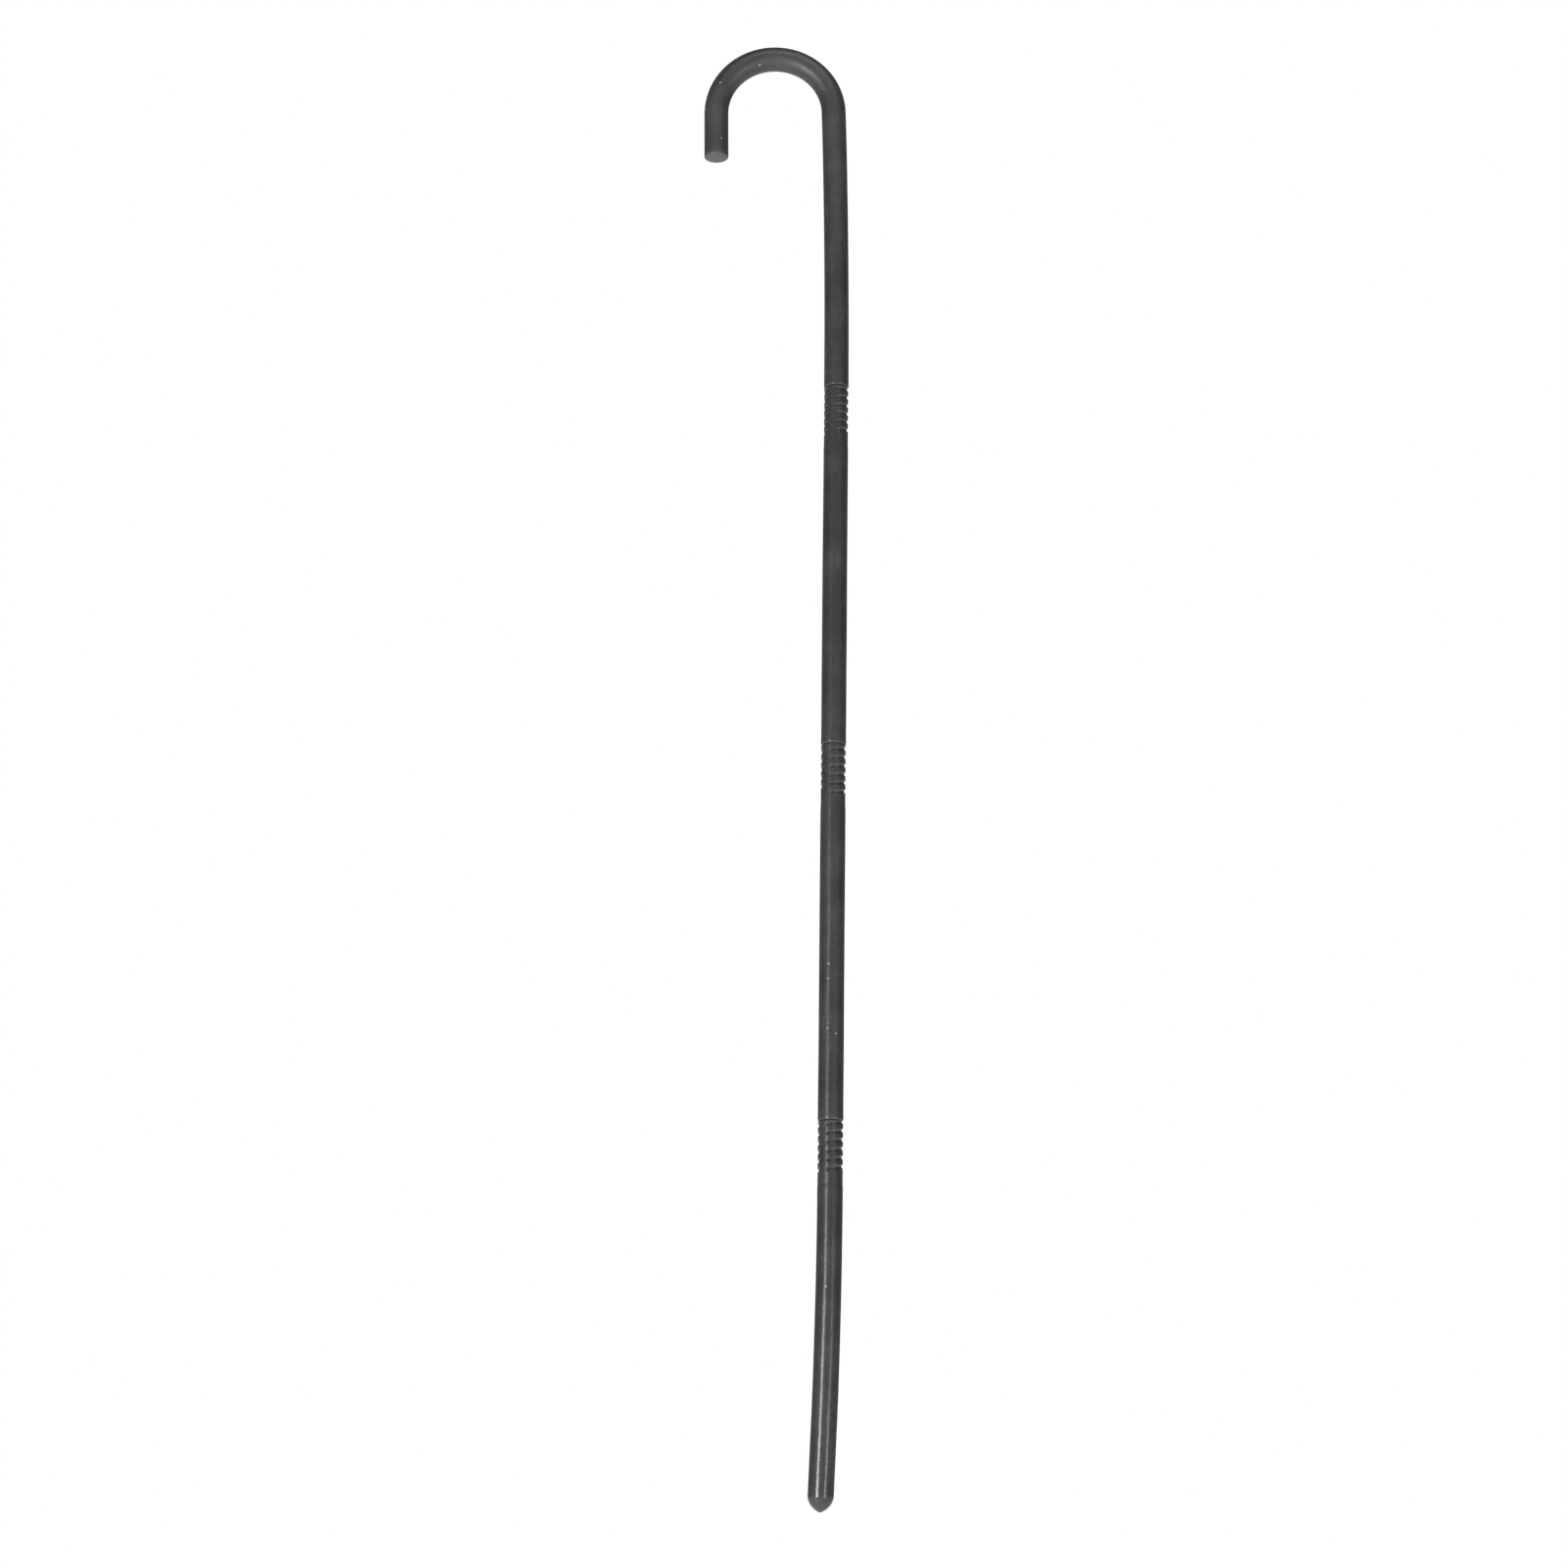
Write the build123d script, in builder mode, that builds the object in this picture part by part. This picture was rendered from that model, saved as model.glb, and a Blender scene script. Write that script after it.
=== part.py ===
"""Take-apart walking stick: four hollow moulded sections that screw end to end.

Millimetres, +Z up. The crook curls towards -X and lies in the XZ plane. The origin is
the inside of the crook's crown, where the stick hangs or a hand lifts it. Each section
has a threaded neck at its lower end, which goes into the dented socket of the next.
"""

import os
from math import asin, atan, cos, degrees, radians, sin, tan

from build123d import *

# Overall sizes
length = 914.4  # 36 in
handle_section = 228.6  # the part of each section that shows when the stick is together
shaft_section = 229.4
tip_section = length - handle_section - 2 * shaft_section
tube_r = 7.55
wall = 1.3
bore_r = tube_r - wall

# Crook: a round bend and a short straight leg with a flat, closed end
crook_r = 37.15  # centreline of the bend
crook_turn = 179.0
short_leg = 30.5
end_rounding = 1.2
handle_bow_r = 5400.0  # the long leg leans a little towards -X, as moulded

# Tip: a slight bow, then a straight end that a ferrule can grip, and a blunt nose
tip_bow_r = 3840.0
ferrule_length = 25.0
nose = 9.2
nose_taper = 24.0  # degrees, from the straight end to the ball that closes it
nose_wall = 2.9

# Socket: the top end of each lower section, dented inwards along a right-hand thread
socket_length = 40.0
socket_r = 7.4
socket_taper = 3.0
rim_rounding = 0.45
pitch = 5.33
half_turns_dented = 12
dent_depth = 0.9
dent_profile_r = 1.4
dent_wall = 0.95
half_turn_arc = 63.0  # each half turn reaches this far either side of its middle
half_turn_rise = 1.55  # and is tilted, to rise this much a quarter turn from its middle
rim_margin = 1.9  # no dent's centreline comes nearer to the rim than this

# Neck: the threaded lower end of each upper section
neck_length = 31.0
neck_r = 4.75
neck_bore_r = 3.55
neck_rounding = 0.5
crest_r = 5.35
crest_profile_r = 0.8
first_crest = 4.2
half_turns_raised = 9
shoulder = 1.6
shoulder_rounding = 0.9
lip_r = 7.6
lip_length = 2.2

# Which way each mould's parting strips face, as an angle about +Z, and how far below
# the rim of its socket the first dent's middle lies
handle_strip = 180.0
upper_strip, upper_first = 248.0, 1.6
lower_strip, lower_first = 52.0, 0.4
tip_strip, tip_first = 232.0, 1.2

# The three seams, the bend and the straight middle of the stick
seam_1 = 2 * tube_r - handle_section
seam_2 = seam_1 - shaft_section
seam_3 = seam_2 - shaft_section
bend_z = tube_r - crook_r
bow_z = seam_1 + 2 * lip_length
bow = asin((bend_z - bow_z) / (handle_bow_r - crook_r))
shaft_x = crook_r * cos(bow) + handle_bow_r * (1 - cos(bow))

UP = (Align.CENTER, Align.CENTER, Align.MIN)
DOWN = (Align.CENTER, Align.CENTER, Align.MAX)


def ring_piece(centre_r, profile_r, arc):
    """A round-ended stretch of ring about +Z, from +X round to the given angle."""
    start = Location((centre_r, 0, 0), (0, 0, 180))
    end_x = centre_r * cos(radians(arc))
    end_y = centre_r * sin(radians(arc))
    end = Location((end_x, end_y, 0), (0, 0, arc))
    with BuildPart() as piece:
        with BuildSketch(Plane.XZ):
            with Locations((centre_r, 0)):
                Circle(profile_r)
        revolve(axis=Axis.Z, revolution_arc=arc)
        with Locations(start, end):
            Sphere(profile_r, arc_size3=180, align=(Align.CENTER, Align.MIN, Align.CENTER))
    return piece.part


def thread(centre_r, profile_r, strip, first, count, margin=0.0):
    """Half turns of right-hand thread going down from z = 0, between the strips."""
    lean = degrees(atan(half_turn_rise / centre_r))
    full = sin(radians(half_turn_arc))
    found = []
    for k in range(count):
        depth = first + k * pitch / 2
        room = (depth - margin) / half_turn_rise
        if room < -full:
            continue
        ahead = degrees(asin(min(room, full)))
        piece = ring_piece(centre_r, profile_r, half_turn_arc + ahead)
        place = Location((0, 0, -depth), (0, 0, strip + 90 - 180 * k))
        found.append(place * Rot(lean, 0, 0) * Rot(0, 0, -half_turn_arc) * piece)
    return found


def dented_socket(strip, first):
    """The top end of a lower section, with its rim at z = 0."""
    centre_r = socket_r - dent_depth + dent_profile_r
    rib_r = dent_profile_r + dent_wall
    with BuildPart() as ribs:
        add(thread(centre_r, rib_r, strip, first, half_turns_dented, rim_margin))
        with Locations((0, 0, -rim_rounding)):
            Cylinder((bore_r + socket_r) / 2, socket_length, align=DOWN, mode=Mode.INTERSECT)
    with BuildPart() as socket:
        Cylinder(socket_r, socket_length - socket_taper, align=DOWN)
        fillet(socket.edges().group_by(Axis.Z)[-1], rim_rounding)
        with Locations((0, 0, -socket_length)):
            Cone(tube_r, socket_r, socket_taper, align=UP)
        Cylinder(bore_r, socket_length, align=DOWN, mode=Mode.SUBTRACT)
        add(ribs.part)
        add(
            thread(centre_r, dent_profile_r, strip, first, half_turns_dented, rim_margin),
            mode=Mode.SUBTRACT,
        )
    return socket.part


def threaded_neck(strip):
    """The lower end of an upper section, with its shoulder's face at z = 0."""
    with BuildPart() as neck:
        with BuildSketch(Plane.XZ):
            with BuildLine():
                Polyline(
                    (0, -neck_length),
                    (neck_r, -neck_length),
                    (neck_r, 0),
                    (lip_r, 0),
                    (lip_r, lip_length),
                    (tube_r, 2 * lip_length),
                    (0, 2 * lip_length),
                    close=True,
                )
            make_face()
        revolve(axis=Axis.Z)
        fillet(neck.faces().sort_by(Axis.Z)[0].edges(), neck_rounding)
        lip_edge = neck.faces().filter_by(Plane.XY).sort_by(Axis.Z)[1].edges().sort_by(Edge.length)[-1]
        fillet(lip_edge, shoulder_rounding)
        add(thread(crest_r - crest_profile_r, crest_profile_r, strip, first_crest, half_turns_raised))
        Cylinder(neck_bore_r, neck_length, align=DOWN, mode=Mode.SUBTRACT)
        Cylinder(neck_bore_r, shoulder, align=UP, mode=Mode.SUBTRACT)
        with Locations((0, 0, shoulder)):
            Cylinder(bore_r, 2 * lip_length - shoulder, align=UP, mode=Mode.SUBTRACT)
    return neck.part


def make_handle():
    """The crook and the top of the shaft."""
    with BuildPart() as handle:
        with BuildLine(Plane.XZ) as outer_path:
            leg = JernArc((shaft_x, bow_z), (0, 1), handle_bow_r, degrees(bow))
            bend = JernArc(leg @ 1, leg % 1, crook_r, crook_turn)
            Line(bend @ 1, bend @ 1 + short_leg * (bend % 1))
        with BuildLine(Plane.XZ) as bore_path:
            add([leg, bend])
            Line(bend @ 1, bend @ 1 + (short_leg - wall) * (bend % 1))
        with BuildSketch(Plane((shaft_x, 0, bow_z))):
            Circle(tube_r)
        sweep(path=outer_path.wire())
        end_face = handle.faces().filter_by(GeomType.PLANE).sort_by(Axis.X)[0]
        fillet(end_face.edges(), end_rounding)
        with BuildSketch(Plane((shaft_x, 0, bow_z))):
            Circle(bore_r)
        sweep(path=bore_path.wire(), mode=Mode.SUBTRACT)
        with Locations((shaft_x, 0, seam_1)):
            add(threaded_neck(handle_strip))
    return handle.part


def make_shaft(top_seam, bottom_seam, strip, first):
    """A straight middle section."""
    top = top_seam - socket_length
    bottom = bottom_seam + 2 * lip_length
    with BuildPart() as shaft:
        with BuildSketch(Plane((shaft_x, 0, bottom))):
            Circle(tube_r)
            Circle(bore_r, mode=Mode.SUBTRACT)
        extrude(amount=top - bottom)
        with Locations((shaft_x, 0, top_seam)):
            add(dented_socket(strip, first))
        with Locations((shaft_x, 0, bottom_seam)):
            add(threaded_neck(strip))
    return shaft.part


def make_tip():
    """The lowest section, bowed a little towards -X, with a closed nose."""
    top = seam_3 - socket_length
    tip_bow = asin((tip_section - socket_length - ferrule_length - nose) / tip_bow_r)
    taper = radians(nose_taper)
    ball_r = (tube_r - nose * tan(taper)) / (1 / cos(taper) - tan(taper))
    with BuildPart() as tip:
        with BuildLine(Plane.XZ) as path:
            leg = JernArc((shaft_x, top), (0, -1), tip_bow_r, -degrees(tip_bow))
            Line(leg @ 1, leg @ 1 + ferrule_length * (leg % 1))
        end = path.wire() @ 1
        along = path.wire() % 1
        with BuildSketch(Plane((shaft_x, 0, top))):
            Circle(tube_r)
        sweep(path=path.wire())
        nose_plane = Plane(end, x_dir=(-along.Z, 0, along.X), z_dir=(0, -1, 0))
        with BuildSketch(nose_plane):
            with BuildLine():
                Line((0, 0), (tube_r, 0))
                ball = CenterArc((0, ball_r - nose), ball_r, -nose_taper, nose_taper - 90)
                Line((tube_r, 0), ball @ 0)
                Line(ball @ 1, (0, 0))
            make_face()
        revolve(axis=Axis(end, along))
        with BuildSketch(Plane((shaft_x, 0, top))):
            Circle(bore_r)
        sweep(path=path.wire(), mode=Mode.SUBTRACT)
        with BuildSketch(nose_plane):
            with BuildLine():
                Line((0, 0), (bore_r, 0))
                hollow = CenterArc((0, bore_r + nose_wall - nose), bore_r, 0, -90)
                Line((bore_r, 0), hollow @ 0)
                Line(hollow @ 1, (0, 0))
            make_face()
        revolve(axis=Axis(end, along), mode=Mode.SUBTRACT)
        with Locations((shaft_x, 0, seam_3)):
            add(dented_socket(tip_strip, tip_first))
    ferrule_seat = end - along * ferrule_length / 2
    print("ferrule seat", ferrule_seat, "along", along, "nose", end + along * nose)
    return tip.part


sections = {
    "handle": make_handle(),
    "upper_shaft": make_shaft(seam_1, seam_2, upper_strip, upper_first),
    "lower_shaft": make_shaft(seam_2, seam_3, lower_strip, lower_first),
    "tip": make_tip(),
}

os.makedirs("parts", exist_ok=True)
for name, solid in sections.items():
    solid.label = name
    export_step(solid, f"parts/{name}.step")
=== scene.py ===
"""Looks for the take-apart walking stick: four moulded sections, a studio and a camera.

Every section is one closed mesh, made by drawing an outline along the section's path and
turning it round that path. Sizes are in millimetres, and turned into metres when a mesh is
made, unless a comment says metres. The seams and the shaft's place come from the CAD nodes.
"""

import math

import bpy
import numpy as np
from mathutils import Matrix, Vector


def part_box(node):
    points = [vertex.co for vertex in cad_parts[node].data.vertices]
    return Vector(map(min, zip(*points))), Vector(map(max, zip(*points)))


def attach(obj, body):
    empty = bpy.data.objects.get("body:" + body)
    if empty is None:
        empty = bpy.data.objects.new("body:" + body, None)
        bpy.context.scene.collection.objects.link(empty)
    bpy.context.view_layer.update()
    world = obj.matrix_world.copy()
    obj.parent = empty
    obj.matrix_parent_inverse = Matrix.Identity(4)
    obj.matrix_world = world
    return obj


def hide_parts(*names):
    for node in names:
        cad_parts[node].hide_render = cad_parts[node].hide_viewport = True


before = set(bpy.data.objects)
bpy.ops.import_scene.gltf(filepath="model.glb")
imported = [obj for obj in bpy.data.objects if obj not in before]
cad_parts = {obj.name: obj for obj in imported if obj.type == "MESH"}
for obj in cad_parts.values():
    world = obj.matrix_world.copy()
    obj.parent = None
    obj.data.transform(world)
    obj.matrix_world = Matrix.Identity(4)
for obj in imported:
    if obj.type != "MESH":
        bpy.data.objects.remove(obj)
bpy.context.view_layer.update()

MM = 0.001

# Tube and crook
TUBE_R = 7.55
BORE_R = 6.25
SHAFT_SECTION = 229.4
TIP_SECTION = 227.0
CROOK_R = 37.15
CROOK_TURN = 179.0
HANDLE_BOW_R = 5400.0
SHORT_LEG = 30.5
END_ROUNDING = 1.2
WALL = 1.3

# Tip
TIP_BOW_R = 3840.0
STRAIGHT_END = 25.0
NOSE = 9.2
NOSE_WALL = 2.9
NOSE_POWER = 1.5  # 1 gives an ellipse; more makes the sides straighter and the end sharper

# Dented socket at the top of each lower section
SOCKET = 40.0
SOCKET_R = 7.4
SOCKET_TAPER = 3.0
RIM_ROUNDING = 0.55
RIM_GAP = 0.25  # the dark line between a shoulder and the rim under it
RIM_INNER_ROUNDING = 0.15
PITCH = 5.33
HALF_TURNS_DENTED = 12
HALF_TURN_ARC = 63.0
HALF_TURN_RISE = 1.55
END_FROM = 30.0
DENT_DEPTH = 0.8
DENT_HALF_WIDTH = 1.45
WALL_SHARE = 0.8  # how much of a groove's or crest's half width is sloping wall
RIB_HEIGHT = 0.7
RIB_HALF_WIDTH = 1.9

# Threaded neck at the bottom of each upper section
NECK = 31.0
NECK_R = 4.75
NECK_BORE_R = 3.55
NECK_ROUNDING = 0.5
FIRST_CREST = 4.2
HALF_TURNS_RAISED = 9
CREST_HEIGHT = 0.6
CREST_HALF_WIDTH = 0.95
SHOULDER = 1.6
SHOULDER_ROUNDING = 0.9
LIP_R = 7.6
LIP = 2.2

# Where each mould's parting lines lie, in degrees about +Z, and how far below the rim
# the first dent's middle is
HANDLE_STRIP = 180.0
UPPER_STRIP, UPPER_FIRST = 248.0, 1.6
LOWER_STRIP, LOWER_FIRST = 52.0, 0.4
TIP_STRIP, TIP_FIRST = 232.0, 1.2

# Slow unevenness of the blown wall: each wave's height, how often it goes round, the length
# of a radian of it along the section, and how its phase differs from section to section
WAVES = (
    (0.035, 2, 43, 1.0),
    (0.022, 3, -29, 2.1),
    (0.012, 5, 13, 0.7),
    (0.012, 1, 9.5, 1.0),
)
WAVE_FADE = 12.0  # over this length at each end of the plain tube
PARTING_HEIGHT = 0.05
PARTING_WIDTH = 1.0  # degrees from the line's middle to where it has faded

# Mesh density: columns, distances between rows, rows on flat faces, and gaps between runs
COLUMNS = 112
BESIDE_LINE = (-1.7, -0.8, 0.8, 1.7)  # degrees
FINE_ROW = 0.34
LIP_ROW = 0.7
COARSE_ROW = 2.4
NECK_BORE_ROW = 3.0
CORNER_ROWS = 7
TAPER_ROWS = 9
NOSE_ROWS = 34
CAP_ROWS = (1.2, 2.6, 4.0, 5.3)  # radii, on the crook's flat end
INNER_CAP_ROWS = (3.0, 1.2)
NECK_FOOT_ROWS = (0.5, 0.12)  # this far out from the neck, on its shoulder's face
ROW_GAP = 1.2  # plain rows of the tube stay this far from what comes next
BORE_GAP = 0.5
NOSE_GAP = 0.6
NECK_START = 0.15
NECK_BORE_MOUTH, NECK_BORE_TOP = 1.0, 0.4
BORE_CORNER = 0.3
CAP_CORNER = 1.5
CAP_GAP = 2.0
RIM_FACE = 0.2  # the first row on the rim's face is this far out from the bore
PAST_END = 1.0  # each curved path goes on past its section's end

# How worn the plastic is: 0 is as moulded. The crook's flat end gets painted light instead, made
# paler as if lit from below, and its rounded edge is worn and also carries a painted highlight.
SOFT_WEAR = 0.3
NECK_WEAR = 0.35
CAP_PAINTED_LIGHT = 0.7
END_WEAR_AND_HIGHLIGHT = 0.9

# Painted shade in the dents: how dark a dent gets all over it, and more near the ends of its half
# turns
DENT_PAINTED_SHADE, DENT_END_PAINTED_SHADE = 0.35, 0.65

# What each row of an outline is
PLAIN, TUBE, DENTED, RIBBED, CRESTED = range(5)

# Plastic: tones, pattern sizes per metre, the ranges that patterns are cut at, and shares
DARK_TONE = (0.028, 0.029, 0.030, 1)
PALE_TONE = (0.042, 0.043, 0.044, 1)
MARK_TONE = (0.28, 0.28, 0.285, 1)
# The near-black that the dents are darkened towards, as painted shade
PAINTED_SHADE_TONE = (0.008, 0.008, 0.008, 1)
BROAD_SCALE, FINE_SCALE, GRAIN_SCALE = 45.0, 420.0, 1900.0
STREAK_SCALE, STREAK_TILT = (900, 900, 45), (0.12, 0.08, 0)
STREAK_RANGE = (0.68, 0.76)
PATCH_SCALE, PATCH_RANGE = 28.0, (0.52, 0.66)
SPECK_CELLS, SPECK_RANGE = 210.0, (0.16, 0.09)  # the range is from a dot's edge inwards
SPECK_CHANCE = (0.955, 0.97)
CROOK_HEIGHTS = (-0.15, -0.04)  # metres; the crook's own look comes in between these
CROOK_OUTSIDE = (0.03, -0.02)
CROOK_SPECKS = 0.3
TONE_RANGE = (0.36, 0.64)
TONE_BROAD, TONE_FINE = 0.6, 0.4
# The second share pales worn edges, and paints light onto the crook's flat end and its rounded
# edge
SCUFF_MARK, WEAR_AND_LIGHT_MARK = 0.2, 0.1
# How far the painted shade darkens the dents
PAINTED_SHADE_SHARE = 0.95
ROUGH = 0.17
ROUGH_BROAD, ROUGH_FINE, ROUGH_SCUFF, ROUGH_CROOK = 0.12, 0.06, 0.2, 0.16
PLASTIC_IOR = 1.5
HEIGHT_BROAD, HEIGHT_FINE, HEIGHT_GRAIN, HEIGHT_SCUFF = 0.5, 0.09, 0.02, -0.03
RELIEF_STRENGTH, RELIEF_DISTANCE = 0.55, 0.0006

# Studio, in metres and watts
FLOOR_Z = -1.9
FLOOR_HALF = 60.0
FLOOR_TONES = (0.80, 0.80, 0.80, 1), (0.83, 0.83, 0.83, 1)
FLOOR_CLOUDS = 1.3
FLOOR_ROUGH, FLOOR_SPECULAR = 0.9, 0.1
FLOOR_GLOW = 0.78
WHITE = (1, 1, 1, 1)
FRONT_GLOW, FRONT_RANGE = 0.26, (-0.15, -0.75)
SIDE_GLOW = 0.045
BACK_GLOW = 0.16
BACK_START, BACK_STOP = (0.2, 0.38), (0.82, 0.66)
LOW_TARGET = (0.04, 0, -0.9)
HIGH_TARGET = (0.04, 0, -0.6)
OVERHEAD_TARGET_Z = -0.5

# Camera, in metres and degrees
CAMERA_AT = (0.0094, -2.1356, -1.0057)
CAMERA_YAW, CAMERA_PITCH, CAMERA_ROLL = 0.028, 14.148, 0.646
CAMERA_LENS, SENSOR_WIDTH = 83.72, 36
CAMERA_REACH = 100


def steps(start, end, size):
    """Evenly spaced values from start to end, no further apart than size, ends included."""
    count = max(2, int(math.ceil(abs(end - start) / size)) + 1)
    return np.linspace(start, end, count)


class Outline:
    """Rows of (distance along the path, radius, kind, paling from rubbing and painted light), from
    one end to the other.
    """

    def __init__(self):
        self.rows = []

    def run(self, along, radius, kind=PLAIN, wear_and_light=0.0):
        along, radius = np.broadcast_arrays(np.asarray(along, float), radius)
        for a, r in zip(np.atleast_1d(along), np.atleast_1d(radius)):
            if self.rows and math.hypot(self.rows[-1][0] - a, self.rows[-1][1] - r) < 1e-4:
                continue
            self.rows.append((float(a), float(r), kind, wear_and_light))

    def corner(self, along, radius, reach, from_side, to_side, kind=PLAIN, wear_and_light=1.0):
        """A rounded corner at (along, radius), arriving from one side and leaving to another.

        Each side is a unit step (along, radius) that points from the corner along its face.
        """
        for t in np.linspace(0, math.pi / 2, CORNER_ROWS):
            back, on = 1 - math.sin(t), 1 - math.cos(t)
            a = along + reach * (from_side[0] * back + to_side[0] * on)
            r = radius + reach * (from_side[1] * back + to_side[1] * on)
            self.run(a, r, kind, wear_and_light)


def path(start, up, spans):
    """A function that gives, at distances along the path, centres and sideways axes.

    The path lies in the XZ plane. It leaves start straight up or down, and each span is a
    length and the turn it makes towards -X, in degrees.
    """
    sign = 1.0 if up else -1.0
    pieces = []
    x, z, heading, begin = start[0], start[1], 0.0, 0.0
    for length, turn in spans:
        bend = math.radians(turn) / length
        pieces.append((begin, x, z, heading, bend))
        after = heading + bend * length
        if bend:
            x += (math.cos(after) - math.cos(heading)) / bend
            z += sign * (math.sin(after) - math.sin(heading)) / bend
        else:
            x -= math.sin(heading) * length
            z += sign * math.cos(heading) * length
        heading, begin = after, begin + length

    def at(along):
        centres, sideways = [], []
        for d in along:
            begin, x, z, heading, bend = [p for p in pieces if p[0] <= d or p is pieces[0]][-1]
            after = heading + bend * (d - begin) if d > begin else heading
            if bend and d > begin:
                cx = x + (math.cos(after) - math.cos(heading)) / bend
                cz = z + sign * (math.sin(after) - math.sin(heading)) / bend
            else:
                cx = x - math.sin(heading) * (d - begin)
                cz = z + sign * math.cos(heading) * (d - begin)
            centres.append((cx, 0.0, cz))
            sideways.append((math.cos(after), 0.0, sign * math.sin(after)))
        return np.array(centres), np.array(sideways)

    return at


def columns(strip):
    """Angles round a section, with more of them beside its two parting lines."""
    even = strip + np.arange(0, 360, 360 / COLUMNS)
    beside = [strip + side + step for side in (0, 180) for step in BESIDE_LINE]
    return np.radians(np.sort(np.concatenate([even, beside])))


def bump(distance, half_width):
    """1 up to a short distance, then falling smoothly to 0 at half_width."""
    t = np.clip((half_width - distance) / (WALL_SHARE * half_width), 0, 1)
    return t * t * (3 - 2 * t)


def half_turns(depth, angles, strip, first, count, half_width, radius):
    """How strongly each point lies on the half turns of right-hand thread, from 0 to 1.

    The second array is the same but only near the two ends of each half turn.
    """
    flat = math.cos(math.atan(PITCH / (2 * math.pi * radius)))
    arc_mm = math.radians(1) * radius
    found = np.zeros((len(depth), len(angles)))
    at_end = np.zeros_like(found)
    for k in range(count):
        middle = first + k * PITCH / 2
        away = np.degrees(angles) - (strip + 90 - 180 * k)
        away = (away + 180) % 360 - 180
        on_line = np.clip(away, -HALF_TURN_ARC, HALF_TURN_ARC)
        line = middle - HALF_TURN_RISE * np.sin(np.radians(on_line))
        across = (depth[:, None] - line[None, :]) * flat
        beyond = (away - on_line)[None, :] * arc_mm
        strength = bump(np.hypot(across, beyond), half_width)
        found = np.maximum(found, strength)
        towards_end = np.clip((np.abs(away) - END_FROM) / (HALF_TURN_ARC - END_FROM), 0, 1)
        at_end = np.maximum(at_end, strength * towards_end)
    return found, at_end


def waviness(along, angles, phase):
    """Slow unevenness of a blown wall, in millimetres."""
    a, p = along[:, None], angles[None, :]
    return sum(
        height * np.sin(turns * p + a / radian + share * phase)
        for height, turns, radian, share in WAVES
    )


def surface(outline, strip, first, rim, face):
    """Radii over rows and columns, with the outline's dents, ribs, crests and parting lines.

    rim is where the socket's rim is along the path and face where the neck's shoulder is.
    The last array says how much painted shade darkens each point, from 0 to 1.
    """
    along = np.array([row[0] for row in outline.rows])
    radius = np.array([row[1] for row in outline.rows])
    kind = np.array([row[2] for row in outline.rows])
    angles = columns(strip)
    radii = np.repeat(radius[:, None], len(angles), axis=1)
    painted_shade = np.zeros_like(radii)

    def turns(seam, first_turn, count, half_width, turn_r):
        return half_turns(
            np.abs(along - seam), angles, strip, first_turn, count, half_width, turn_r
        )

    def only(wanted, values):
        return np.where(np.isin(kind, wanted)[:, None], values, 0)

    if rim is not None:
        dents, ends = turns(rim, first, HALF_TURNS_DENTED, DENT_HALF_WIDTH, SOCKET_R)
        ribs, _ = turns(rim, first, HALF_TURNS_DENTED, RIB_HALF_WIDTH, SOCKET_R)
        radii -= only(DENTED, DENT_DEPTH * dents)
        radii -= only(RIBBED, RIB_HEIGHT * ribs)
        # Painted shade: the dents are darkened all over, and most near the ends of their half
        # turns
        painted_shade = only(DENTED, DENT_PAINTED_SHADE * dents + DENT_END_PAINTED_SHADE * ends)
    if face is not None:
        crests, _ = turns(face, FIRST_CREST, HALF_TURNS_RAISED, CREST_HALF_WIDTH, NECK_R)
        radii += only(CRESTED, CREST_HEIGHT * crests)
    tube = along[kind == TUBE]
    fade = np.clip((along - tube.min()) / WAVE_FADE, 0, 1)
    fade *= np.clip((tube.max() - along) / WAVE_FADE, 0, 1)
    radii += only(TUBE, waviness(along, angles, math.radians(strip)) * fade[:, None])
    from_line = np.abs((np.degrees(angles) - strip + 90) % 180 - 90)
    line = PARTING_HEIGHT * np.exp(-((from_line / PARTING_WIDTH) ** 2))
    radii += only((TUBE, DENTED), line[None, :])
    return along, radii, angles, painted_shade


def grid_faces(rows, cols, closed):
    """Four-sided faces between neighbouring rows, and from the last to the first if closed."""
    lower = np.arange(rows if closed else rows - 1)[:, None] * cols
    upper = (lower + cols) % (rows * cols)
    left = np.arange(cols)
    right = (left + 1) % cols
    quads = np.stack([lower + left, lower + right, upper + right, upper + left], axis=-1)
    return quads.reshape(-1, 4).tolist()


def pole_faces(rows, cols):
    """Triangles from the first and last rows to the two points that close them."""
    first_pole, last_pole = rows * cols, rows * cols + 1
    last = (rows - 1) * cols
    sides = [(a, (a + 1) % cols) for a in range(cols)]
    start = [[first_pole, b, a] for a, b in sides]
    return start + [[last_pole, last + a, last + b] for a, b in sides]


def facing_out(verts, faces):
    """The same faces, turned over if they enclose a negative volume."""
    corners = [verts[[f[0], f[i], f[i + 1]]] for f in faces for i in range(1, len(f) - 1)]
    tri = np.array(corners)
    volume = np.einsum("ij,ij->i", tri[:, 0], np.cross(tri[:, 1], tri[:, 2])).sum()
    return faces if volume > 0 else [f[::-1] for f in faces]


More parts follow.
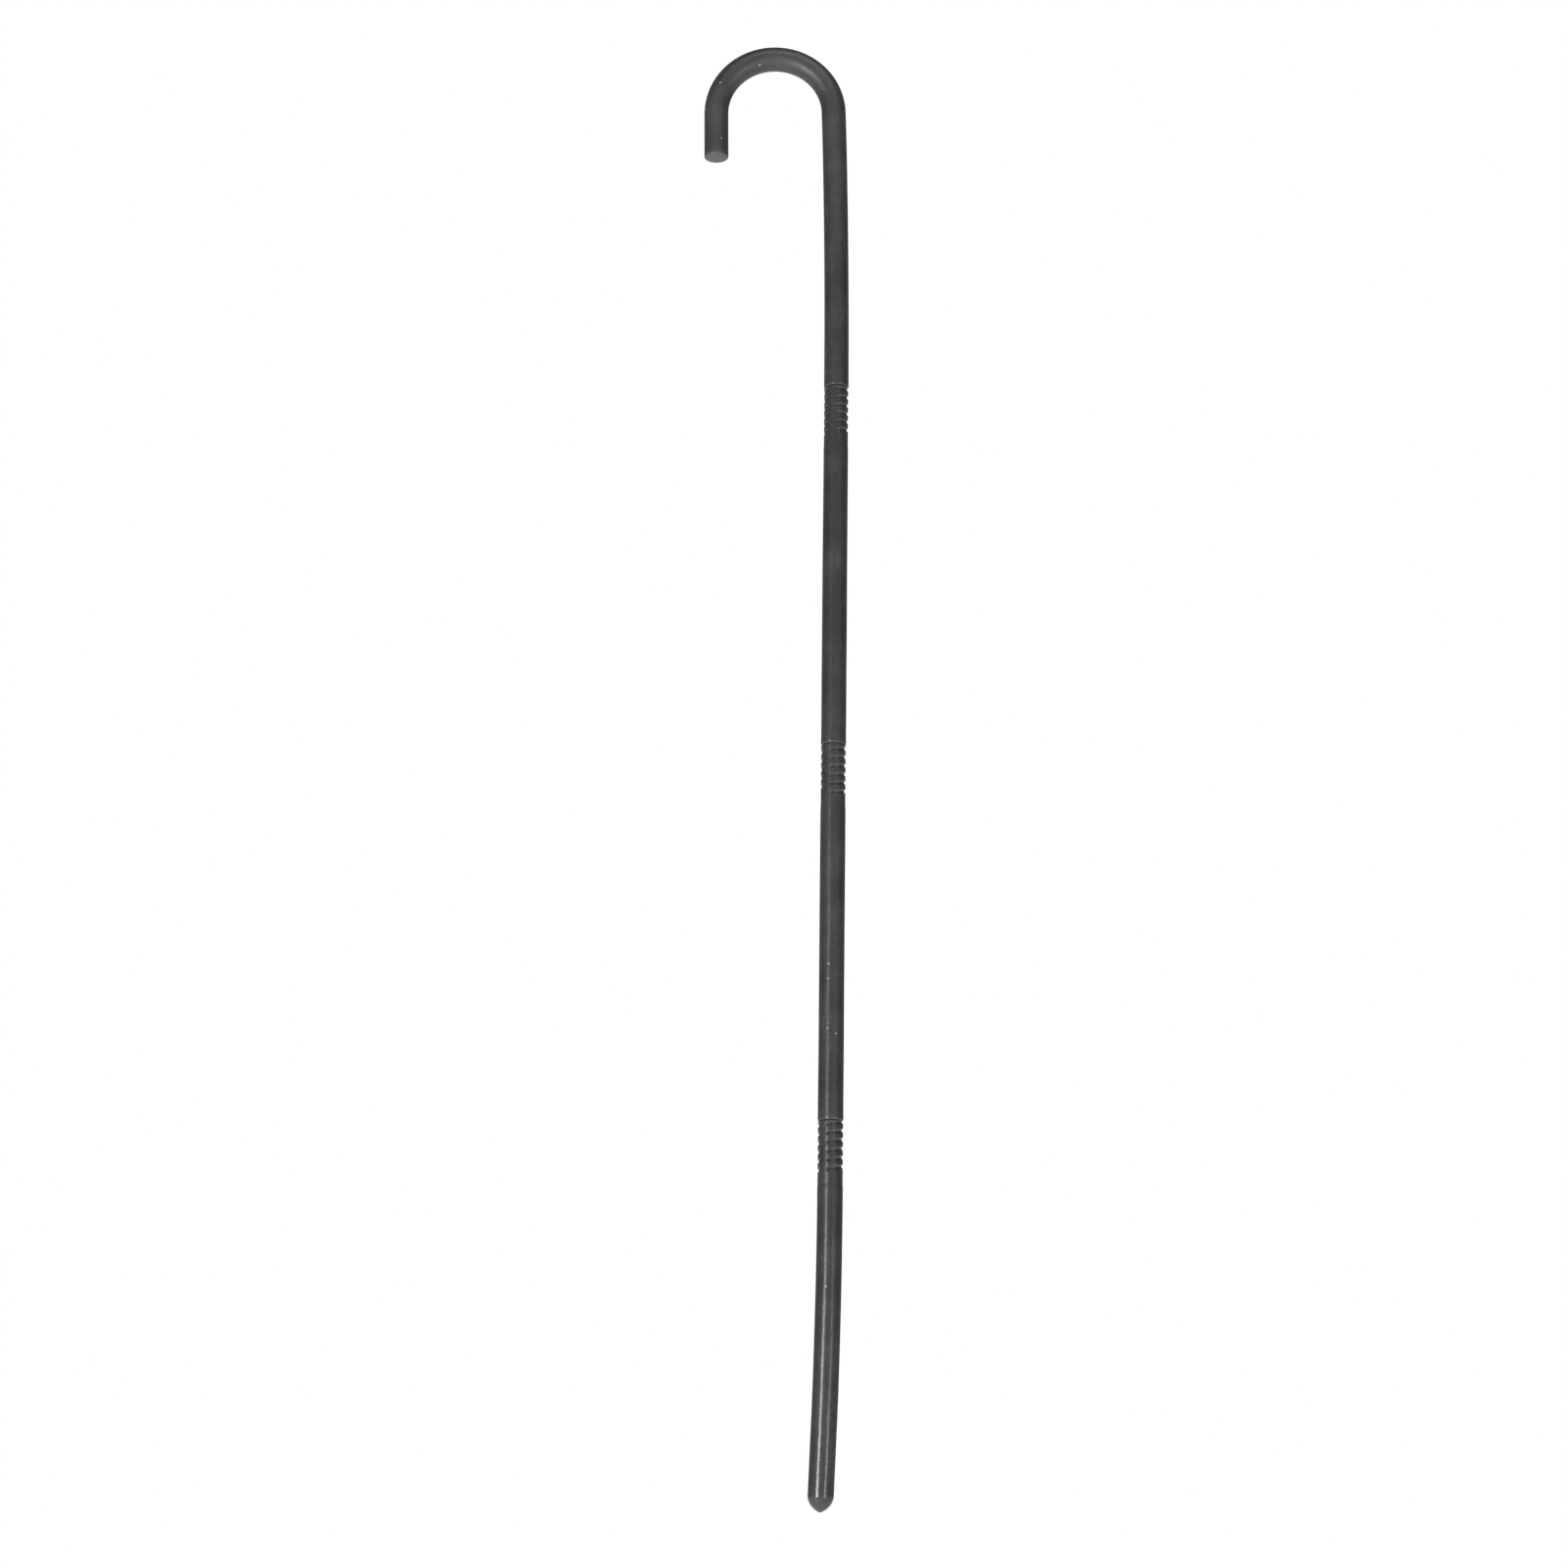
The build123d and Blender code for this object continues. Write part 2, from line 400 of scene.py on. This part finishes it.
def section_mesh(name, place, outline, strip, first, rim, face, closed):
    """A mesh object for one section. closed means the outline's end meets its start."""
    along, radii, angles, painted_shade = surface(outline, strip, first, rim, face)
    centres, sideways = place(along)
    across = np.array((0.0, 1.0, 0.0))
    points = (
        centres[:, None, :]
        + (radii * np.cos(angles))[:, :, None] * sideways[:, None, :]
        + (radii * np.sin(angles))[:, :, None] * across
    )
    rows, cols = radii.shape
    verts = points.reshape(-1, 3)
    faces = grid_faces(rows, cols, closed)
    wear_and_light = np.repeat([row[3] for row in outline.rows], cols)
    painted_shade = painted_shade.ravel()
    if not closed:
        verts = np.concatenate([verts, points[[0, -1]].mean(axis=1)])
        wear_and_light = np.concatenate([wear_and_light, [0, 0]])
        painted_shade = np.concatenate([painted_shade, [0, 0]])
        faces += pole_faces(rows, cols)
    verts = verts * MM
    mesh = bpy.data.meshes.new(name)
    mesh.from_pydata(verts.tolist(), [], facing_out(verts, faces))
    mesh.validate()
    mesh.polygons.foreach_set("use_smooth", [True] * len(mesh.polygons))
    for title, values in (("wear_and_light", wear_and_light), ("painted_shade", painted_shade)):
        attribute = mesh.attributes.new(title, "FLOAT", "POINT")
        attribute.data.foreach_set("value", values.astype(np.float32))
    mesh.update()
    return link(bpy.data.objects.new(name, mesh))


def link(made):
    """Puts an object in the scene."""
    bpy.context.scene.collection.objects.link(made)
    return made


def draw_neck(outline, face, away):
    """The lip, shoulder and threaded neck below face, then back up its bore.

    away is the way along the path from the face towards the neck's end.
    """
    lip = steps(face - 2 * LIP * away, face - LIP * away, LIP_ROW)
    outline.run(lip, np.linspace(TUBE_R, LIP_R, len(lip)), TUBE)
    outline.corner(face, LIP_R, SHOULDER_ROUNDING, (-away, 0), (0, -1), wear_and_light=SOFT_WEAR)
    outline.run(face, [NECK_R + out for out in NECK_FOOT_ROWS])
    threaded = steps(face + NECK_START * away, face + (NECK - NECK_ROUNDING) * away, FINE_ROW)
    outline.run(threaded, NECK_R, CRESTED, NECK_WEAR)
    end = face + NECK * away
    outline.corner(end, NECK_R, NECK_ROUNDING, (-away, 0), (0, -1))
    outline.corner(end, NECK_BORE_R, NECK_ROUNDING / 2, (0, 1), (-away, 0))
    mouth = face + (NECK - NECK_BORE_MOUTH) * away
    top = face - (SHOULDER - NECK_BORE_TOP) * away
    outline.run(steps(mouth, top, NECK_BORE_ROW), NECK_BORE_R)
    step = face - SHOULDER * away
    outline.corner(step, NECK_BORE_R, BORE_CORNER, (away, 0), (0, 1), wear_and_light=0)
    outline.corner(step, BORE_R, BORE_CORNER, (0, -1), (-away, 0), wear_and_light=0)


def draw_socket_outside(outline, rim, away):
    """From the middle of the rim out over its edge and down the dented outside."""
    outline.run(rim, BORE_R + RIM_FACE)
    outline.corner(rim, SOCKET_R, RIM_ROUNDING, (0, -1), (away, 0), DENTED, wear_and_light=SOFT_WEAR)
    taper = rim + (SOCKET - SOCKET_TAPER) * away
    outline.run(steps(rim + RIM_ROUNDING * away, taper, FINE_ROW), SOCKET_R, DENTED)
    t = np.linspace(0, 1, TAPER_ROWS)
    ease = t * t * (3 - 2 * t)
    outline.run(taper + SOCKET_TAPER * away * t, SOCKET_R + (TUBE_R - SOCKET_R) * ease, DENTED)


def draw_socket_inside(outline, rim, away):
    """Up the ribbed inside of a socket to the inner edge of its rim."""
    ribbed = steps(rim + SOCKET * away, rim + RIM_INNER_ROUNDING * away, FINE_ROW)
    outline.run(ribbed, BORE_R, RIBBED)
    outline.corner(rim, BORE_R, RIM_INNER_ROUNDING, (away, 0), (0, 1))


def make_handle(x, seam):
    """The crook and the top of the shaft. Its path goes up from the seam and over."""
    crown = TUBE_R - CROOK_R
    bow_from = seam + 2 * LIP
    bow = math.degrees(math.asin((crown - bow_from) / (HANDLE_BOW_R - CROOK_R)))
    bow_length = math.radians(bow) * HANDLE_BOW_R
    bend_length = math.radians(CROOK_TURN) * CROOK_R
    spans = [
        (2 * LIP, 0),
        (bow_length, bow),
        (bend_length, CROOK_TURN),
        (SHORT_LEG + PAST_END, 0),
    ]
    place = path((x, seam), True, spans)
    end = 2 * LIP + bow_length + bend_length + SHORT_LEG
    bore_end = end - WALL
    outline = Outline()
    # The flat end is painted paler, as if lit from below, and its rounded edge is worn and painted
    # with a highlight
    outline.run(end, CAP_ROWS, PLAIN, CAP_PAINTED_LIGHT)
    outline.corner(end, TUBE_R, END_ROUNDING, (0, -1), (-1, 0), TUBE, END_WEAR_AND_HIGHLIGHT)
    outline.run(steps(end - END_ROUNDING, 2 * LIP, COARSE_ROW), TUBE_R, TUBE)
    draw_neck(outline, 0.0, -1)
    outline.run(steps(SHOULDER + BORE_GAP, bore_end - CAP_GAP, 2 * COARSE_ROW), BORE_R)
    outline.corner(bore_end, BORE_R, CAP_CORNER, (-1, 0), (0, -1), wear_and_light=0)
    outline.run(bore_end, INNER_CAP_ROWS)
    return section_mesh("handle_moulding", place, outline, HANDLE_STRIP, 0, None, 0.0, False)


def make_shaft(name, x, seam, strip, first):
    """A straight middle section. Its path goes down from its upper seam."""
    place = path((x, seam), False, [(SHAFT_SECTION, 0)])
    last_row = SHAFT_SECTION - 2 * LIP - ROW_GAP
    bore_end = SHAFT_SECTION - SHOULDER - BORE_GAP
    outline = Outline()
    draw_socket_outside(outline, RIM_GAP, 1)
    outline.run(steps(SOCKET + ROW_GAP, last_row, COARSE_ROW), TUBE_R, TUBE)
    draw_neck(outline, SHAFT_SECTION, 1)
    outline.run(steps(bore_end, SOCKET + BORE_GAP, 2 * COARSE_ROW), BORE_R)
    draw_socket_inside(outline, RIM_GAP, 1)
    return section_mesh(name, place, outline, strip, first, 0.0, SHAFT_SECTION, True)


def make_tip(x, seam):
    """The lowest section, bowed a little, with a closed nose."""
    bow_length = TIP_SECTION - SOCKET - STRAIGHT_END - NOSE
    bow = math.degrees(math.asin(bow_length / TIP_BOW_R))
    straight = STRAIGHT_END + NOSE + PAST_END
    place = path((x, seam), False, [(SOCKET, 0), (bow_length, bow), (straight, 0)])
    end = SOCKET + bow_length + STRAIGHT_END
    turn = np.linspace(0, math.pi / 2, NOSE_ROWS)[:-1]
    outline = Outline()
    outline.run(end + (NOSE - NOSE_WALL) * np.cos(turn[1:]), BORE_R * np.sin(turn[1:]))
    outline.run(steps(end, SOCKET + BORE_GAP, 2 * COARSE_ROW), BORE_R)
    draw_socket_inside(outline, RIM_GAP, 1)
    draw_socket_outside(outline, RIM_GAP, 1)
    outline.run(steps(SOCKET + ROW_GAP, end - NOSE_GAP, COARSE_ROW), TUBE_R, TUBE)
    outline.run(end + NOSE * np.sin(turn), TUBE_R * np.cos(turn) ** NOSE_POWER, TUBE)
    return section_mesh("tip_moulding", place, outline, TIP_STRIP, TIP_FIRST, 0.0, None, False)


def give(tree, socket, value):
    """Sets an input: by value, or from another node's output."""
    if isinstance(value, bpy.types.NodeSocket):
        tree.links.new(value, socket)
    else:
        socket.default_value = value


def node(tree, kind, **inputs):
    """A shader node with some of its inputs set."""
    made = tree.nodes.new(kind)
    for key, value in inputs.items():
        give(tree, made.inputs[key.replace("_", " ")], value)
    return made


def math_node(tree, operation, a, b):
    made = tree.nodes.new("ShaderNodeMath")
    made.operation = operation
    give(tree, made.inputs[0], a)
    give(tree, made.inputs[1], b)
    return made.outputs[0]


def total(tree, start, *parts):
    """start plus every part, each part an output and its share."""
    for value, share in parts:
        start = math_node(tree, "ADD", start, math_node(tree, "MULTIPLY", value, share))
    return start


def ramp(tree, factor, low, high):
    """Maps low..high of factor to 0..1, smoothly."""
    made = tree.nodes.new("ShaderNodeMapRange")
    made.interpolation_type = "SMOOTHSTEP"
    give(tree, made.inputs["Value"], factor)
    give(tree, made.inputs["From Min"], low)
    give(tree, made.inputs["From Max"], high)
    return made.outputs["Result"]


def mix(tree, kind, factor, a, b):
    """a where factor is 0 and b where it is 1."""
    made = tree.nodes.new("ShaderNodeMix")
    made.data_type = kind
    give(tree, made.inputs["Factor"], factor)
    give(tree, made.inputs["A"], a)
    give(tree, made.inputs["B"], b)
    return made.outputs["Result"]


def noise(tree, where, scale, detail, roughness=0.5):
    made = node(tree, "ShaderNodeTexNoise", Vector=where, Scale=scale, Detail=detail)
    made.inputs["Roughness"].default_value = roughness
    return made.outputs["Fac"]


def attribute(tree, name):
    """A value that the mesh holds at every point."""
    made = tree.nodes.new("ShaderNodeAttribute")
    made.attribute_name = name
    return made.outputs["Fac"]


def scuffs(tree, where):
    """Short streaks along the section, in patches."""
    stretched = node(
        tree, "ShaderNodeMapping", Vector=where, Scale=STREAK_SCALE, Rotation=STREAK_TILT
    )
    streak = noise(tree, stretched.outputs["Vector"], scale=1.0, detail=1.0)
    patch = noise(tree, where, PATCH_SCALE, detail=2.0)
    return math_node(
        tree, "MULTIPLY", ramp(tree, streak, *STREAK_RANGE), ramp(tree, patch, *PATCH_RANGE)
    )


def speckles(tree, where, outer_crook):
    """Small pale dots: a few anywhere, and more on the outside of the crook."""
    cells = node(tree, "ShaderNodeTexVoronoi", Vector=where, Scale=SPECK_CELLS)
    dot = ramp(tree, cells.outputs["Distance"], *SPECK_RANGE)
    chance = node(tree, "ShaderNodeSeparateColor", Color=cells.outputs["Color"]).outputs["Red"]
    chance = total(tree, chance, (outer_crook, CROOK_SPECKS))
    return math_node(tree, "MULTIPLY", dot, ramp(tree, chance, *SPECK_CHANCE))


def plastic():
    """Satin charcoal polyethylene: mottled, finely grained, with scuffs, specks, worn edges,
    painted light on the crook's flat end and its edge, and painted shade in the dents.
    """
    material = bpy.data.materials.new("charcoal_polyethylene")
    material.use_nodes = True
    tree = material.node_tree
    tree.nodes.clear()
    where = tree.nodes.new("ShaderNodeTexCoord").outputs["Object"]
    broad = noise(tree, where, BROAD_SCALE, detail=3.0, roughness=0.55)
    fine = noise(tree, where, FINE_SCALE, detail=4.0, roughness=0.6)
    grain = noise(tree, where, GRAIN_SCALE, detail=2.0)
    scuffed = scuffs(tree, where)
    place = node(tree, "ShaderNodeSeparateXYZ", Vector=where)
    crook = ramp(tree, place.outputs["Z"], *CROOK_HEIGHTS)
    outside = ramp(tree, place.outputs["X"], *CROOK_OUTSIDE)
    specks = speckles(tree, where, math_node(tree, "MULTIPLY", crook, outside))

    tone = total(tree, 0.0, (broad, TONE_BROAD), (fine, TONE_FINE))
    mottle = mix(tree, "RGBA", ramp(tree, tone, *TONE_RANGE), DARK_TONE, PALE_TONE)
    scuff_marks = math_node(tree, "MULTIPLY", scuffed, SCUFF_MARK)
    # Worn edges pale the plastic. Painted light does the same: on the crook's flat end as if lit
    # from below, and as a painted highlight on its rounded edge
    wear_and_light_marks = math_node(tree, "MULTIPLY", attribute(tree, "wear_and_light"), WEAR_AND_LIGHT_MARK)
    marks = math_node(tree, "MAXIMUM", scuff_marks, specks)
    marks = math_node(tree, "MAXIMUM", marks, wear_and_light_marks)
    marked = mix(tree, "RGBA", marks, mottle, MARK_TONE)
    # Painted shade: the dents are darkened towards a near-black tone
    painted_shade_mask = math_node(tree, "MULTIPLY", attribute(tree, "painted_shade"), PAINTED_SHADE_SHARE)
    colour = mix(tree, "RGBA", painted_shade_mask, marked, PAINTED_SHADE_TONE)

    rough = total(
        tree, ROUGH, (broad, ROUGH_BROAD), (fine, ROUGH_FINE), (scuffed, ROUGH_SCUFF),
        (crook, ROUGH_CROOK),
    )
    height = total(
        tree, 0.0, (broad, HEIGHT_BROAD), (fine, HEIGHT_FINE), (grain, HEIGHT_GRAIN),
        (scuffed, HEIGHT_SCUFF),
    )
    relief = node(
        tree, "ShaderNodeBump", Height=height, Strength=RELIEF_STRENGTH, Distance=RELIEF_DISTANCE
    )
    shader = node(
        tree, "ShaderNodeBsdfPrincipled", Base_Color=colour, Roughness=rough, IOR=PLASTIC_IOR,
        Normal=relief.outputs["Normal"],
    )
    node(tree, "ShaderNodeOutputMaterial", Surface=shader.outputs["BSDF"])
    return material


def floor_material():
    """Pale and matt, and luminous, so that it stays even."""
    material = bpy.data.materials.new("pale_floor")
    material.use_nodes = True
    tree = material.node_tree
    where = tree.nodes.new("ShaderNodeTexCoord").outputs["Object"]
    clouds = noise(tree, where, FLOOR_CLOUDS, detail=2.0)
    shade = mix(tree, "RGBA", clouds, *FLOOR_TONES)
    inputs = tree.nodes["Principled BSDF"].inputs
    give(tree, inputs["Base Color"], shade)
    inputs["Roughness"].default_value = FLOOR_ROUGH
    inputs["Specular IOR Level"].default_value = FLOOR_SPECULAR
    inputs["Emission Color"].default_value = WHITE
    inputs["Emission Strength"].default_value = FLOOR_GLOW
    return material


def plane(name, half, z, material):
    """A level square, half of its side to each side of the origin."""
    mesh = bpy.data.meshes.new(name)
    corners = [(-half, -half, z), (half, -half, z), (half, half, z), (-half, half, z)]
    mesh.from_pydata(corners, [], [(0, 1, 2, 3)])
    mesh.materials.append(material)
    return link(bpy.data.objects.new(name, mesh))


def soft_light(name, at, towards, width, height, power):
    """A rectangular studio light that the camera doesn't see."""
    data = bpy.data.lights.new(name, "AREA")
    data.shape = "RECTANGLE"
    data.size, data.size_y = width, height
    data.energy = power
    made = link(bpy.data.objects.new(name, data))
    aim = (Vector(towards) - Vector(at)).to_track_quat("-Z", "Y")
    made.matrix_world = Matrix.Translation(at) @ aim.to_matrix().to_4x4()
    made.visible_camera = False


def studio_world():
    """White for the camera. Its light is soft in front, dim at the sides and pale behind."""
    world = bpy.data.worlds.new("studio")
    bpy.context.scene.world = world
    world.use_nodes = True
    tree = world.node_tree
    tree.nodes.clear()
    direction = tree.nodes.new("ShaderNodeTexCoord").outputs["Generated"]
    y = node(tree, "ShaderNodeSeparateXYZ", Vector=direction).outputs["Y"]
    front = ramp(tree, y, *FRONT_RANGE)
    back = math_node(tree, "MULTIPLY", ramp(tree, y, *BACK_START), ramp(tree, y, *BACK_STOP))
    glow = total(tree, SIDE_GLOW, (front, FRONT_GLOW), (back, BACK_GLOW))
    seen = tree.nodes.new("ShaderNodeLightPath").outputs["Is Camera Ray"]
    strength = mix(tree, "FLOAT", seen, glow, 1.0)
    shader = node(tree, "ShaderNodeBackground", Color=WHITE, Strength=strength)
    node(tree, "ShaderNodeOutputWorld", Surface=shader.outputs["Background"])


def camera():
    """Low in front of the stick, looking up."""
    yaw, pitch, roll = (math.radians(a) for a in (CAMERA_YAW, CAMERA_PITCH, CAMERA_ROLL))
    level = Vector((math.cos(yaw), -math.sin(yaw), 0))
    ahead = Vector((math.sin(yaw), math.cos(yaw), 0))
    forward = ahead * math.cos(pitch) + Vector((0, 0, math.sin(pitch)))
    above = level.cross(forward)
    right = level * math.cos(roll) + above * math.sin(roll)
    up = above * math.cos(roll) - level * math.sin(roll)
    data = bpy.data.cameras.new("camera")
    data.lens = CAMERA_LENS
    data.sensor_width = SENSOR_WIDTH
    data.clip_end = CAMERA_REACH
    made = link(bpy.data.objects.new("camera", data))
    made.matrix_world = Matrix((right, up, -forward)).transposed().to_4x4()
    made.location = CAMERA_AT
    bpy.context.scene.camera = made


upper_low, upper_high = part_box("upper_shaft")
shaft_x = (upper_low.x + upper_high.x) / 2 / MM
seam_1 = upper_high.z / MM
seam_2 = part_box("lower_shaft")[1].z / MM
seam_3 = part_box("tip")[1].z / MM

material = plastic()
mouldings = {
    "handle": make_handle(shaft_x, seam_1),
    "upper_shaft": make_shaft("upper_moulding", shaft_x, seam_1, UPPER_STRIP, UPPER_FIRST),
    "lower_shaft": make_shaft("lower_moulding", shaft_x, seam_2, LOWER_STRIP, LOWER_FIRST),
    "tip": make_tip(shaft_x, seam_3),
}
for body, piece in mouldings.items():
    piece.data.materials.append(material)
    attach(piece, body)
    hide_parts(body)

floor = plane("floor", FLOOR_HALF, FLOOR_Z, floor_material())
studio_world()
overhead_target = (shaft_x * MM, 0, OVERHEAD_TARGET_Z)
soft_light("left_low", (-1.38, -2.1, -0.92), LOW_TARGET, width=0.11, height=0.42, power=37)
soft_light("left_high", (-1.38, -2.1, -0.3), HIGH_TARGET, width=0.11, height=0.8, power=3.5)
soft_light("right_low", (1.55, -2.05, -0.98), LOW_TARGET, width=0.13, height=0.32, power=11)
soft_light("overhead", (0.3, -1.2, 1.6), overhead_target, width=1.6, height=1.0, power=14)
camera()
scene = bpy.context.scene
scene.view_settings.view_transform = "Standard"
scene.view_settings.look = "None"
